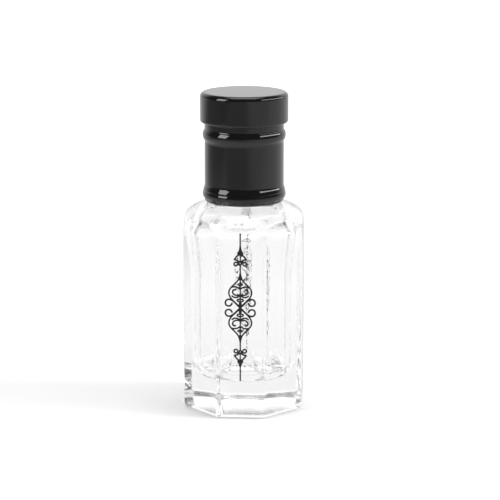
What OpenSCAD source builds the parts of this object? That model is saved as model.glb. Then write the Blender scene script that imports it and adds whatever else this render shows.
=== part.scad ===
// Small octagonal roll-on bottle of heavy clear glass with a tall screw cap.
// Millimetres, +Z up. The origin is the centre of the base, on the plane the bottle stands on.
// The front facet faces -Y.

/* [Glass body] */
// Distance across two opposite facets
body_w = 24; // [22:0.5:27]
// Height from the table to the root of the neck
body_h = 42.2; // [38:0.2:48]
// Radius of the eight upright edges
edge_r = 1; // [0.5:0.1:2]
// Fall of the shoulder outwards from the neck, in degrees
shoulder_fall = 14; // [8:1:20]
// Radius of the shoulder's round edge
shoulder_r = 3.8; // [2.5:0.1:4.4]
// Lean of the shoulder's side above each upright edge, in degrees
shoulder_lean = 15; // [10:1:20]
// Height over which the facets end in arches below the neck's root
arch_h = 6.3; // [5.6:0.1:8]
// Radius of the heel, where a facet turns under the base
heel_r = 1; // [0.6:0.1:1.6]
// Depth of the hollow under the base
push_up = 0.7; // [0.3:0.1:1.2]
// Width of the flat rim that the bottle stands on
stand_rim = 1.4; // [1:0.1:2.5]

/* [Glass cavity] */
// Thickness of the solid glass base
base_t = 6.4; // [4:0.2:8]
// Wall thickness just above the base, at the middle of a facet
wall_low = 4; // [3:0.1:4.6]
// Wall thickness below the shoulder, at the middle of a facet
wall_high = 2.9; // [2.2:0.1:3.6]
// Height at which the cavity starts to widen
flare_low = 26.5; // [20:0.5:30]
// Glass thickness over the shoulder
shoulder_t = 2; // [1.6:0.1:2.8]
// Radius between the cavity's wall and its floor
floor_r = 3.2; // [2.4:0.2:3.6]
// Radius of the cavity's round top edge
roof_r = 3.6; // [2.4:0.2:4]

/* [Neck] */
// Height of the neck above its root
neck_h = 12.4; // [11.4:0.1:14]
// Outer diameter of the neck between threads
neck_d = 11.4; // [11.2:0.1:11.6]
// Diameter of the neck's bore
bore_d = 8.4; // [8:0.1:8.8]
// How far the glass thread stands out of the neck
thread_depth = 0.6; // [0.4:0.05:0.65]
// Rise of the thread in one turn
thread_pitch = 2.5; // [2.3:0.1:2.8]
// Turns of thread on the neck
neck_turns = 1.5; // [1.2:0.1:1.8]
// Diameter of the bead at the neck's root
bead_d = 12.8; // [12.2:0.1:13]
// Height of that bead
bead_h = 1; // [0.7:0.1:1.1]

/* [Roller] */
// Diameter of the roller ball
ball_d = 7.6; // [7.2:0.1:7.8]
// Gap between the ball and its socket, all round
ball_gap = 0.06; // [0.03:0.01:0.09]
// How far the socket's lip reaches above the ball's middle
lip_rise = 1.4; // [1.1:0.1:1.7]
// How far the ball's middle lies above the neck's rim
ball_rise = 1.7; // [1.4:0.1:2.2]
// Wall of the socket at the ball's middle
socket_wall = 0.9; // [0.7:0.05:1]
// Length of the plug inside the neck
plug_len = 7.5; // [6:0.5:9]
// Gap between the plug and the neck's bore
plug_gap = 0.05; // [0.04:0.01:0.1]
// Diameter of the channel through the plug
channel_d = 6; // [5.8:0.1:6.2]
// Diameter of the flange that rests on the neck's rim
flange_d = 10.9; // [10.6:0.1:11]
// Thickness of that flange
flange_t = 0.9; // [0.7:0.1:1.1]

/* [Cap] */
// Gap between the cap's rim and the shoulder
cap_gap = 0.45; // [0.3:0.05:0.8]
// Diameter of the cap's plain band
cap_d = 15.9; // [15.55:0.05:16.4]
// Wall of the cap along the plain band
cap_wall = 0.8; // [0.7:0.05:0.9]
// Thickness of the cap's top
cap_top_t = 1.5; // [1:0.1:2]
// Diameter of the cap's head
head_d = 17.65; // [17:0.05:18.2]
// Height of the cap's head
head_h = 6.05; // [5.6:0.05:7]
// Radius of the head's top edge
head_edge_r = 0.9; // [0.5:0.1:1.2]
// Radius of the head's lower edge
head_low_r = 0.45; // [0.3:0.05:0.6]
// Height of the upper bead
bead_high_h = 2.25; // [1.8:0.05:2.6]
// How far the upper bead stands out of the plain band
bead_high_out = 0.38; // [0.25:0.01:0.6]
// Height of the groove between the head and the upper bead
groove_h = 1.35; // [0.7:0.05:1.6]
// Height of the lower bead
bead_low_h = 2; // [1.6:0.05:2.4]
// How far the lower bead stands out of the plain band
bead_low_out = 0.41; // [0.35:0.01:0.6]
// Height of the broad step that rises behind the lower bead
step_h = 2.45; // [2.3:0.05:2.8]
// How far that step stands out of the plain band
step_out = 0.29; // [0.2:0.01:0.32]
// Height of the plain rim under the lower bead
rim_h = 0.4; // [0.3:0.05:1]

/* [Cap lining] */
// Gap that glue fills between the cap, its lining and the pad
glue_gap = 0.05; // [0.03:0.01:0.1]
// Gap between the lining's thread and the glass, across the thread
thread_gap = 0.15; // [0.12:0.01:0.2]
// Gap between the flanks of the two threads
flank_gap = 0.1; // [0.06:0.01:0.2]
// Turns of thread inside the lining
lining_turns = 1.2; // [1:0.1:1.5]
// Thickness of the lining's ceiling
ceiling_t = 1; // [0.8:0.1:1.4]
// Height of the lining's foot above the cap's rim
lining_foot = 1.2; // [1.1:0.1:1.6]
// Diameter of the pad above the ball
pad_d = 9; // [8:0.2:10]
// Thickness of the pad
pad_t = 1.2; // [0.8:0.1:1.5]
// Gap between the pad and the ball
pad_gap = 0.2; // [0.1:0.05:0.3]

/* [Hidden] */
$fn = 96;

facets = 8;
facet_turn = 360 / facets;
body_r = body_w / 2;
corner_r = body_r / cos(facet_turn / 2); // radius of a sharp corner
over = 1; // how far a cutter runs past what it cuts
corner_spread = 1.035; // the cavity's radius behind an edge, over that behind a facet
rim_edge = 0.2; // rounding of the cap's rim
bead_sink = 0.1; // how far a bead's ends are set into the band
step_foot = 0.2; // height of the step's hidden foot above the lower bead's foot
flare_lead = 0.6; // how much lower the cavity starts to widen behind an edge than behind a facet
roof_sink = shoulder_r / 4; // how far the cavity's round top edge lies under its sloping roof

neck_r = neck_d / 2;
neck_top = body_h + neck_h;
thread_r = neck_r + thread_depth;
neck_edge = 0.4; // rounding of the neck's rim
bead_edge = 0.25; // rounding of the root bead's upper edge

// A thread is a ridge with sloping flanks, and its ends taper into the wall.
ridge_root = 1.5;
ridge_crest = 0.7;
lining_ridge_root = 0.85;
lining_ridge_crest = 0.4;
thread_start = 3.4; // height of the ridge's start above the neck's root
thread_low = body_h + thread_start;
thread_steps = 24; // sections in one turn
taper_steps = 4; // sections over which an end rises
taper_start = 0.2; // part of one section's rise that the end face already has
thread_sink = 0.2; // how far a ridge's foot is set into its wall

ball_r = ball_d / 2;
socket_r = ball_r + ball_gap;
socket_out_r = socket_r + socket_wall;
ball_z = neck_top + ball_rise;
lip_z = ball_z + lip_rise;
lip_slope = 0.4; // chamfer round the socket's lip
lip_room = 0.6; // headroom over the socket's lip
plug_low = neck_top - plug_len;
plug_r = bore_d / 2 - plug_gap;
plug_ribs = 3;
rib_h = 1;
rib_gap = 0.01; // gap between a rib and the bore

// The cap's height follows from what it holds: the neck, the ball, the pad and the lining.
pad_low = ball_z + ball_r + pad_gap;
ceiling_z = pad_low + pad_t + glue_gap;
lining_top = ceiling_z + ceiling_t;
cap_high = lining_top + glue_gap + cap_top_t;
cap_r = cap_d / 2;
shell_bore_r = cap_r - cap_wall;
cap_low = shoulder_height(shell_bore_r) + cap_gap;
head_low = cap_high - head_h;
bead_high_z = head_low - groove_h - bead_high_h;
bead_low_z = cap_low + rim_h;
step_z = bead_low_z + step_foot;

lining_r = shell_bore_r - glue_gap;
lining_root_r = thread_r + thread_gap;
lining_crest_r = neck_r + thread_gap;
lining_low = cap_low + lining_foot;
lining_room_top = lip_z + lip_room;
chamber_r = pad_d / 2 + glue_gap;
// The lining's ridge bears on the underside of the glass ridge, where the two are widest together.
ridge_reach = ridge_half(lining_crest_r) + lining_ridge_crest / 2;
lining_thread_low = thread_low - ridge_reach - flank_gap;

// Height of the shoulder's upper slope at a radius.
function shoulder_height(r) = body_h - tan(shoulder_fall) * (r - neck_r);

// Half the width of the glass ridge at a radius.
function ridge_half(r) = (ridge_root + (ridge_crest - ridge_root) * (r - neck_r) / thread_depth) / 2;

// One ridge of a right-hand thread.
module thread_ridge(low, turns, wall_r, crest_r, root_w, crest_w) {
    outward = crest_r > wall_r;
    foot_r = wall_r + (outward ? -thread_sink : thread_sink);
    steps = round(turns * thread_steps);
    function rise(i) = min(1, (min(i, steps - i) + taper_start) / taper_steps);
    function section(i) =
        let (a = 360 * i / thread_steps,
             z = low + thread_pitch * i / thread_steps,
             top_r = wall_r + (crest_r - wall_r) * rise(i))
        [for (p = [[foot_r, -root_w / 2], [top_r, -crest_w / 2], [top_r, crest_w / 2], [foot_r, root_w / 2]])
            [p[0] * cos(a), p[0] * sin(a), z + p[1]]];
    last = 4 * steps;
    sides = [for (i = [0 : steps - 1], j = [0 : 3])
        let (a = 4 * i + j, b = 4 * i + (j + 1) % 4) each [[a, b, b + 4], [a, b + 4, a + 4]]];
    ends = [[2, 1, 0], [3, 2, 0], [last, last + 1, last + 2], [last, last + 2, last + 3]];
    faces = concat(sides, ends);
    turned = [for (f = faces) [f[2], f[1], f[0]]];
    polyhedron([for (i = [0 : steps]) each section(i)], outward ? faces : turned);
}

// A slab between two opposite facets, with the heel's radius along its lower edges.
module facet_slab() {
    flat = body_r - heel_r;
    rotate([90, 0, 0])
        linear_extrude(2 * corner_r + 2 * over, center = true) {
            polygon([[-flat, 0], [flat, 0], [body_r, heel_r], [body_r, neck_top],
                     [-body_r, neck_top], [-body_r, heel_r]]);
            for (side = [-1, 1]) translate([side * flat, heel_r]) circle(heel_r);
        }
}

// The upright edges as a rounded octagon.
module rounded_prism() {
    round_at = (body_r - edge_r) / cos(facet_turn / 2);
    linear_extrude(neck_top) {
        polygon([for (k = [0 : facets - 1], side = [0, 1])
            let (edge_a = (k + 0.5) * facet_turn, facet_a = (k + side) * facet_turn)
            round_at * [cos(edge_a), sin(edge_a)] + edge_r * [cos(facet_a), sin(facet_a)]]);
        for (k = [0 : facets - 1])
            rotate((k + 0.5) * facet_turn) translate([round_at, 0]) circle(edge_r);
    }
}

// The round body whose slopes end the facets in arches: two slopes joined by a round edge.
module shoulder_dome() {
    fall = tan(shoulder_fall);
    lean = tan(shoulder_lean);
    foot = [corner_r, body_h - arch_h];
    meet_z = (body_h - fall * (foot[0] + lean * foot[1] - neck_r)) / (1 - fall * lean);
    meet = [foot[0] - lean * (meet_z - foot[1]), meet_z];
    run = shoulder_r * tan((90 - shoulder_fall - shoulder_lean) / 2);
    upper = meet + run * [-cos(shoulder_fall), sin(shoulder_fall)];
    lower = meet + run * [sin(shoulder_lean), -cos(shoulder_lean)];
    centre = upper - shoulder_r * [sin(shoulder_fall), cos(shoulder_fall)];
    rotate_extrude() {
        polygon([[0, -over], [corner_r + over, -over], [corner_r + over, foot[1]], foot, lower, upper,
                 [neck_r, body_h], [0, body_h]]);
        translate(centre) circle(shoulder_r);
    }
}

// Half the outline of the round cavity, which reaches a little past its flats.
module cavity_half() {
    low_r = (body_r - wall_low) * corner_spread;
    high_r = (body_r - wall_high) * corner_spread;
    roof_z = body_h - shoulder_t;
    roof_fall = tan(shoulder_fall) * (high_r - roof_r - neck_r) + roof_sink;
    roof_centre = [high_r - roof_r, roof_z - roof_r - roof_fall];
    floor_centre = [low_r - floor_r, base_t + floor_r];
    polygon([[0, base_t], floor_centre - [0, floor_r], floor_centre + [floor_r, 0],
             [low_r, flare_low - flare_lead], roof_centre + [roof_r, 0],
             roof_centre + roof_r * [sin(shoulder_fall), cos(shoulder_fall)],
             [bore_d / 2, roof_z], [0, roof_z]]);
    translate(floor_centre) circle(floor_r);
    translate(roof_centre) circle(roof_r);
}

// The space between the flat walls behind two opposite facets.
module wall_slab() {
    low = body_r - wall_low;
    high = body_r - wall_high;
    flare_high = body_h - shoulder_t - roof_r - roof_sink;
    rotate([90, 0, 0])
        linear_extrude(2 * corner_r, center = true)
            polygon([[-low, base_t - over], [low, base_t - over], [low, flare_low], [high, flare_high],
                     [high, body_h + over], [-high, body_h + over], [-high, flare_high], [-low, flare_low]]);
}

// The cavity: flat behind the middle of each facet and round behind the edges.
module cavity() {
    intersection() {
        rotate_extrude() cavity_half();
        wall_slab();
        rotate(facet_turn) wall_slab();
        rotate(2 * facet_turn) wall_slab();
        rotate(3 * facet_turn) wall_slab();
    }
}

// The shallow hollow under the base is part of a large ball.
module base_hollow() {
    hollow_r = body_r - heel_r - stand_rim;
    curve_r = (pow(hollow_r, 2) + pow(push_up, 2)) / (2 * push_up);
    translate([0, 0, push_up - curve_r]) sphere(curve_r);
}

// A round bar on the axis from low to high, with its upper edge rounded.
module round_topped_bar(low, high, r, edge) {
    rotate_extrude() {
        polygon([[0, low], [r, low], [r, high - edge], [r - edge, high], [0, high]]);
        translate([r - edge, high - edge]) circle(edge);
    }
}

module neck() {
    root = body_h - over;
    round_topped_bar(root, neck_top, neck_r, neck_edge);
    round_topped_bar(root, body_h + bead_h, bead_d / 2, bead_edge);
    thread_ridge(thread_low, neck_turns, neck_r, thread_r, ridge_root, ridge_crest);
}

module glass_bottle() {
    color([0.86, 0.92, 0.91, 0.45])
    difference() {
        union() {
            intersection() {
                rounded_prism();
                shoulder_dome();
                facet_slab();
                rotate(facet_turn) facet_slab();
                rotate(2 * facet_turn) facet_slab();
                rotate(3 * facet_turn) facet_slab();
            }
            neck();
        }
        cavity();
        translate([0, 0, body_h - shoulder_t - over])
            cylinder(h = neck_h + shoulder_t + 2 * over, d = bore_d);
        base_hollow();
    }
}

// The plastic fitment that plugs the neck and holds the ball.
module roller_housing() {
    lip_r = sqrt(pow(socket_r, 2) - pow(lip_rise, 2));
    color([0.93, 0.94, 0.93])
    difference() {
        union() {
            translate([0, 0, plug_low]) cylinder(h = plug_len + flange_t, r = plug_r);
            translate([0, 0, neck_top]) cylinder(h = flange_t, d = flange_d);
            translate([0, 0, neck_top]) cylinder(h = lip_z - lip_slope - neck_top, r = socket_out_r);
            translate([0, 0, lip_z - lip_slope])
                cylinder(h = lip_slope, r1 = socket_out_r, r2 = socket_out_r - lip_slope);
            for (k = [1 : plug_ribs])
                translate([0, 0, plug_low + k * plug_len / (plug_ribs + 1)])
                    rotate_extrude()
                        polygon([[0, -rib_h / 2], [plug_r, -rib_h / 2], [plug_r + plug_gap - rib_gap, 0],
                                 [plug_r, rib_h / 2], [0, rib_h / 2]]);
        }
        translate([0, 0, ball_z]) sphere(socket_r);
        translate([0, 0, ball_z]) cylinder(h = lip_rise + over, r = lip_r);
        translate([0, 0, plug_low - over]) cylinder(h = ball_z - plug_low, d = channel_d);
    }
}

module roller_ball() {
    color([0.78, 0.8, 0.82]) translate([0, 0, ball_z]) sphere(ball_r);
}

// A bead is an arc, h high, that stands out of the plain band.
module bead_half(low, h, out) {
    bead_r = (pow(h / 2, 2) + pow(out, 2)) / (2 * out);
    intersection() {
        translate([cap_r + out - bead_r, low + h / 2]) circle(bead_r);
        translate([0, low - bead_sink]) square([cap_r + over, h + 2 * bead_sink]);
    }
}

// Half of the head's outline, with its upper and lower edges rounded.
module head_half() {
    r = head_d / 2;
    polygon([[0, head_low], [r - head_low_r, head_low], [r, head_low + head_low_r],
             [r, cap_high - head_edge_r], [r - head_edge_r, cap_high], [0, cap_high]]);
    translate([r - head_low_r, head_low + head_low_r]) circle(head_low_r);
    translate([r - head_edge_r, cap_high - head_edge_r]) circle(head_edge_r);
}

// Half of the shell's section: the outline with the inside cut away.
module cap_half() {
    difference() {
        union() {
            head_half();
            translate([0, cap_low + rim_edge]) square([cap_r, head_low - cap_low]);
            translate([0, cap_low]) square([cap_r - rim_edge, head_low - cap_low]);
            translate([cap_r - rim_edge, cap_low + rim_edge]) circle(rim_edge);
            bead_half(bead_high_z, bead_high_h, bead_high_out);
            bead_half(bead_low_z, bead_low_h, bead_low_out);
            bead_half(step_z, step_h, step_out);
        }
        translate([-over, cap_low - over])
            square([shell_bore_r + over, cap_high - cap_top_t - cap_low + over]);
    }
}

module cap_shell() {
    color([0.05, 0.05, 0.055]) rotate_extrude() cap_half();
}

// The threaded lining, glued inside the cap.
module cap_lining() {
    color([0.12, 0.12, 0.125]) {
        difference() {
            translate([0, 0, lining_low]) cylinder(h = lining_top - lining_low, r = lining_r);
            translate([0, 0, lining_low - over])
                cylinder(h = lining_room_top - lining_low + over, r = lining_root_r);
            translate([0, 0, lining_low]) cylinder(h = ceiling_z - lining_low, r = chamber_r);
        }
        thread_ridge(lining_thread_low, lining_turns, lining_root_r, lining_crest_r,
                     lining_ridge_root, lining_ridge_crest);
    }
}

// The soft pad that the lining carries above the ball.
module ball_pad() {
    color([0.86, 0.86, 0.84]) translate([0, 0, pad_low]) cylinder(h = pad_t, d = pad_d);
}

glass_bottle();
roller_housing();
roller_ball();
cap_shell();
cap_lining();
ball_pad();
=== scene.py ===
"""Visual model of a small octagonal roll-on bottle with a tall black screw cap.

The model's own frame is in metres: +Z up, the origin at the centre of the base and the front facet facing -Y.
The bottle's sizes are written in millimetres, and MM turns them into metres. The studio's are in metres.
"""

import logging
import math
from dataclasses import dataclass, field
from enum import Enum

import bpy
import numpy as np
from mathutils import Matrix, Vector


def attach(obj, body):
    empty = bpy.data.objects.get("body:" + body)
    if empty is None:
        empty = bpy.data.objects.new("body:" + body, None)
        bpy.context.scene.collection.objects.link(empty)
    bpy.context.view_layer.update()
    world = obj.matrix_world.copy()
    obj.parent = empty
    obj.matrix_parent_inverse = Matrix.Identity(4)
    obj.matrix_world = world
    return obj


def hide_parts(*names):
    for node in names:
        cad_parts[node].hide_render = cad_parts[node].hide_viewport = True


MM = 0.001
FULL_TURN = 2.0 * math.pi
WHITE = (1.0, 1.0, 1.0)
# Keeps a divisor from being 0.
TINY = 1e-30
LOG = logging.getLogger("bottle")

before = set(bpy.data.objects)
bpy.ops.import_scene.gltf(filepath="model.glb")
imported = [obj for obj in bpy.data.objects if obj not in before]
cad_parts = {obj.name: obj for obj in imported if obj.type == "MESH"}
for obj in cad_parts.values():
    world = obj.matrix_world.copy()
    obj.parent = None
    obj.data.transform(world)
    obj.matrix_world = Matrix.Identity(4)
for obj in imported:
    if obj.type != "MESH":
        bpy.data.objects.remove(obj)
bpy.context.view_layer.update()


# ---------------------------------------------------------------- surfaces


# A point of an outline: its distance from the axis and its height, or right and up on a facet.
Point = tuple[float, float] | np.ndarray


def arc(centre: Point, radius: float, start: float, end: float, count: int) -> np.ndarray:
    """Points of a circular arc: centre plus radius times (cos a, sin a), a running evenly from start to end.

    Args:
        centre: the arc's centre.
        radius: radius of the arc.
        start: first angle, in degrees.
        end: last angle, in degrees.
        count: how many points.

    Returns:
        An array with a row for each point.
    """
    angle = np.radians(np.linspace(start, end, count))
    return np.column_stack([centre[0] + radius * np.cos(angle), centre[1] + radius * np.sin(angle)])


def straight(start: Point, end: Point, count: int) -> np.ndarray:
    """Evenly spaced points on a line, without its two ends: start plus t times (end minus start)."""
    part = np.linspace(0.0, 1.0, count + 2)[1:-1, None]
    return np.array(start) + part * (np.array(end) - np.array(start))


def smooth_step(x: np.ndarray, low: float, high: float) -> np.ndarray:
    """Cubic step: 0 below low, 1 above high, and t squared times (3 minus 2 t) between them."""
    t = np.clip((x - low) / (high - low), 0.0, 1.0)
    return t * t * (3.0 - 2.0 * t)


def smooth_min(a: np.ndarray, b: np.ndarray, blend: float) -> np.ndarray:
    """The lesser of a and b, with the crease between them rounded off over the width blend."""
    h = np.clip(0.5 + 0.5 * (b - a) / blend, 0.0, 1.0)
    return b * (1.0 - h) + a * h - blend * h * (1.0 - h)


def mesh_object(name: str, points: np.ndarray, faces: list, smooth: bool = True) -> bpy.types.Object:
    """Puts points and faces into a new mesh object at the origin.

    Args:
        name: name of the object.
        points: (n, 3) array in metres.
        faces: lists of three or four point numbers.
        smooth: whether the faces are shaded smooth.

    Returns:
        The object, linked to the scene.
    """
    mesh = bpy.data.meshes.new(name)
    mesh.from_pydata(points.tolist(), [], faces)
    mesh.polygons.foreach_set("use_smooth", np.full(len(mesh.polygons), smooth))
    mesh.update()
    made = bpy.data.objects.new(name, mesh)
    bpy.context.scene.collection.objects.link(made)
    return made


def turned_mesh(name: str, radius: np.ndarray, height: np.ndarray, angle: np.ndarray) -> bpy.types.Object:
    """A closed skin round the Z axis: the point (i, j) is (r cos a, r sin a, z).

    Here r and z belong to (i, j) and a to j. The first and the last row are poles on the axis, so each is one
    point. Faces point outwards.

    Args:
        name: name of the object.
        radius: (rows, columns) distances from the axis, in mm; the end rows are taken as 0.
        height: (rows,) or (rows, columns) heights, in mm.
        angle: (columns,) angles in radians, without a repeated last one.

    Returns:
        The object.
    """
    rows, columns = radius.shape
    heights = np.broadcast_to(height[:, None] if height.ndim == 1 else height, radius.shape)
    ring = np.stack([radius * np.cos(angle), radius * np.sin(angle), heights], axis=-1)[1:-1].reshape(-1, 3)
    ends = np.array([[0.0, 0.0, heights[0, 0]], [0.0, 0.0, heights[-1, 0]]])
    points = np.vstack([ring, ends]) * MM
    first_pole, last_pole = len(ring), len(ring) + 1
    column = np.arange(columns)
    after = (column + 1) % columns
    row = np.arange(rows - 3)[:, None] * columns
    quads = np.stack([row + column, row + after, row + columns + after, row + columns + column], axis=-1)
    top = (rows - 3) * columns
    first_fan = np.stack([np.full(columns, first_pole), after, column], axis=-1)
    last_fan = np.stack([np.full(columns, last_pole), top + column, top + after], axis=-1)
    return mesh_object(name, points, quads.reshape(-1, 4).tolist() + first_fan.tolist() + last_fan.tolist())


def turned_line(name: str, line: np.ndarray, columns: int) -> bpy.types.Object:
    """Turns a half section round the Z axis: turned_mesh with the same radius and height all the way round.

    Args:
        name: name of the object.
        line: (rows, 2) distances from the axis and heights, in mm, from pole to pole.
        columns: how many points a ring has.

    Returns:
        The object.
    """
    angle = np.linspace(0.0, FULL_TURN, columns, endpoint=False)
    return turned_mesh(name, np.broadcast_to(line[:, :1], (len(line), columns)), line[:, 1], angle)


# ---------------------------------------------------------------- finishes


# What an input can be given: a number, a colour, or the socket that it is linked to.
Value = float | tuple | bpy.types.NodeSocket


@dataclass(frozen=True)
class Wiring:
    """Short forms for the nodes and sums that a material is made of."""

    nodes: bpy.types.Nodes
    links: bpy.types.NodeLinks

    def put(self, value: Value, socket: bpy.types.NodeSocket) -> None:
        """Sets a socket to a constant, or links it to another socket.

        Args:
            value: the constant or the other socket.
            socket: the input socket.
        """
        if isinstance(value, bpy.types.NodeSocket):
            self.links.new(value, socket)
        else:
            socket.default_value = value

    def fill(self, node: bpy.types.Node, inputs: dict[str, Value]) -> bpy.types.Node:
        """Sets each named input of a node to a constant, or links it to a socket.

        Args:
            node: the node.
            inputs: the constants and sockets, by the names of the inputs.

        Returns:
            The same node.
        """
        for label, value in inputs.items():
            self.put(value, node.inputs[label])
        return node

    def node(self, kind: str, inputs: dict[str, Value] | None = None) -> bpy.types.Node:
        """A new node with its inputs filled."""
        return self.fill(self.nodes.new(kind), inputs or {})

    def group(self, tree: bpy.types.ShaderNodeTree, inputs: dict[str, Value]) -> bpy.types.Node:
        """A shared effect placed here, with its inputs filled.

        Args:
            tree: the effect's node group.
            inputs: the constants and sockets, by the names of the inputs.

        Returns:
            The group's node.
        """
        made = self.nodes.new("ShaderNodeGroup")
        made.node_tree = tree
        return self.fill(made, inputs)

    def math(self, kind: str, a: Value, b: Value) -> bpy.types.NodeSocket:
        """One sum of two values.

        Args:
            kind: the Math node's operation.
            a: the first value.
            b: the second value.

        Returns:
            The result's socket.
        """
        node = self.nodes.new("ShaderNodeMath")
        node.operation = kind
        self.put(a, node.inputs[0])
        self.put(b, node.inputs[1])
        return node.outputs[0]

    def ramp(self, value: Value, low: float, high: float, start: float, end: float) -> bpy.types.NodeSocket:
        """Runs smoothly from start to end as the value goes from low to high.

        Args:
            value: what is read.
            low: the value at which the run starts.
            high: the value at which it ends.
            start: the result at low.
            end: the result at high.

        Returns:
            The result's socket.
        """
        node = self.nodes.new("ShaderNodeMapRange")
        node.interpolation_type = "SMOOTHSTEP"
        self.fill(node, {"Value": value, "From Min": low, "From Max": high, "To Min": start, "To Max": end})
        return node.outputs["Result"]

    def tint(self, share: Value, a: tuple, b: tuple) -> bpy.types.NodeSocket:
        """The colour a where share is 0 and b where it is 1.

        Args:
            share: how much of b there is.
            a: the first colour's red, green and blue.
            b: the second colour's.

        Returns:
            The mixed colour's socket.
        """
        node = self.nodes.new("ShaderNodeMix")
        node.data_type = "RGBA"
        first, second = (socket for socket in node.inputs if socket.type == "RGBA")
        first.default_value = (*a, 1.0)
        second.default_value = (*b, 1.0)
        self.put(share, node.inputs["Factor"])
        return next(socket for socket in node.outputs if socket.type == "RGBA")

    def blend(self, share: Value, a: Value, b: Value) -> bpy.types.NodeSocket:
        """The value a where share is 0 and b where it is 1."""
        return self.node("ShaderNodeMix", {"Factor": share, "A": a, "B": b}).outputs["Result"]

    def parts(self, vector: bpy.types.NodeSocket) -> list[bpy.types.NodeSocket]:
        """The X, Y and Z parts of a vector."""
        return list(self.node("ShaderNodeSeparateXYZ", {"Vector": vector}).outputs)

    def from_axis(self, x: Value, y: Value) -> bpy.types.NodeSocket:
        """Distance from the Z axis: the root of x squared plus y squared."""
        square = self.math("ADD", self.math("MULTIPLY", x, x), self.math("MULTIPLY", y, y))
        return self.math("SQRT", square, 0.0)


def new_material(name: str) -> tuple[bpy.types.Material, Wiring]:
    """A new material that uses nodes.

    Args:
        name: name of the material.

    Returns:
        The material, and the short forms for its tree.
    """
    made = bpy.data.materials.new(name)
    made.use_nodes = True
    return made, Wiring(made.node_tree.nodes, made.node_tree.links)


def node_group(name: str, inputs: dict[str, float], outputs: list[str]) -> bpy.types.ShaderNodeTree:
    """An empty shader group with float inputs, a vector input named Vector, and float outputs.

    Args:
        name: name of the group.
        inputs: the float inputs' names and what they are set to at first.
        outputs: the outputs' names.

    Returns:
        The group.
    """
    group = bpy.data.node_groups.new(name, "ShaderNodeTree")
    group.interface.new_socket("Vector", in_out="INPUT", socket_type="NodeSocketVector")
    for label, value in inputs.items():
        socket = group.interface.new_socket(label, in_out="INPUT", socket_type="NodeSocketFloat")
        socket.default_value = value
    for label in outputs:
        group.interface.new_socket(label, in_out="OUTPUT", socket_type="NodeSocketFloat")
    return group


def speckle_group() -> bpy.types.ShaderNodeTree:
    """Fine uneven height for any surface: a noise of the given size, blended with a broader one.

    Returns:
        The group, made on the first call. It puts out Height and Mask.
    """
    name = "uneven_surface"
    if name in bpy.data.node_groups:
        return bpy.data.node_groups[name]
    inputs = {"Fine Scale": 900.0, "Broad Scale": 120.0, "Broad Share": 0.6}
    group = node_group(name, inputs, ["Height", "Mask"])
    wiring = Wiring(group.nodes, group.links)
    start = wiring.node("NodeGroupInput").outputs
    fine = wiring.node("ShaderNodeTexNoise", {"Vector": start["Vector"], "Scale": start["Fine Scale"]})
    broad = wiring.node("ShaderNodeTexNoise", {"Vector": start["Vector"], "Scale": start["Broad Scale"]})
    height = wiring.blend(start["Broad Share"], fine.outputs["Fac"], broad.outputs["Fac"])
    wiring.node("NodeGroupOutput", {"Height": height, "Mask": broad.outputs["Fac"]})
    return group


@dataclass(frozen=True)
class Gloss:
    """A solid finish: colour, roughness that varies a little and a fine uneven surface.

    The roughness runs between the two values of rough. The two scales are those of the surface's fine and
    broad noise, in waves a metre.
    """

    name: str
    colour: tuple[float, float, float]
    rough: tuple[float, float]
    bump: float = 0.0
    bump_height: float = 0.02 * MM
    fine_scale: float = 900.0
    broad_scale: float = 120.0
    metallic: float = 0.0
    ior: float = 1.5
    subsurface: float = 0.0
    subsurface_depth: float = 0.5 * MM

    def material(self) -> bpy.types.Material:
        """Builds the material, or finds the one that exists.

        Returns:
            The material.
        """
        if self.name in bpy.data.materials:
            return bpy.data.materials[self.name]
        made, wiring = new_material(self.name)
        place = wiring.node("ShaderNodeTexCoord").outputs["Object"]
        uneven = wiring.group(speckle_group(), {
            "Vector": place, "Fine Scale": self.fine_scale, "Broad Scale": self.broad_scale}).outputs
        spread = wiring.node("ShaderNodeMapRange", {
            "Value": uneven["Mask"], "To Min": self.rough[0], "To Max": self.rough[1]})
        bump = wiring.node("ShaderNodeBump", {
            "Strength": self.bump, "Distance": self.bump_height, "Height": uneven["Height"]})
        wiring.fill(wiring.nodes["Principled BSDF"], {
            "Base Color": (*self.colour, 1.0),
            "Metallic": self.metallic,
            "IOR": self.ior,
            "Subsurface Weight": self.subsurface,
            "Subsurface Scale": self.subsurface_depth,
            "Roughness": spread.outputs["Result"],
            "Normal": bump.outputs["Normal"]})
        return made


def ripple_group() -> bpy.types.ShaderNodeTree:
    """Waves of a pressed glass wall: a noise with its own scale along Z, cut off beyond a radius.

    Returns:
        The group, made on the first call. It puts out Height.
    """
    name = "drawn_ripple"
    if name in bpy.data.node_groups:
        return bpy.data.node_groups[name]
    group = node_group(name, {"Round Scale": 900.0, "Upright Scale": 70.0, "Reach": 0.01}, ["Height"])
    wiring = Wiring(group.nodes, group.links)
    start = wiring.node("NodeGroupInput").outputs
    x, y, z = wiring.parts(start["Vector"])
    near = wiring.math("LESS_THAN", wiring.from_axis(x, y), start["Reach"])
    drawn = wiring.node("ShaderNodeCombineXYZ", {
        "X": wiring.math("MULTIPLY", x, start["Round Scale"]),
        "Y": wiring.math("MULTIPLY", y, start["Round Scale"]),
        "Z": wiring.math("MULTIPLY", z, start["Upright Scale"])})
    wave = wiring.node("ShaderNodeTexNoise", {"Vector": drawn.outputs["Vector"], "Scale": 1.0, "Detail": 1.0})
    wiring.node("NodeGroupOutput", {"Height": wiring.math("MULTIPLY", wave.outputs["Fac"], near)})
    return group


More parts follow.
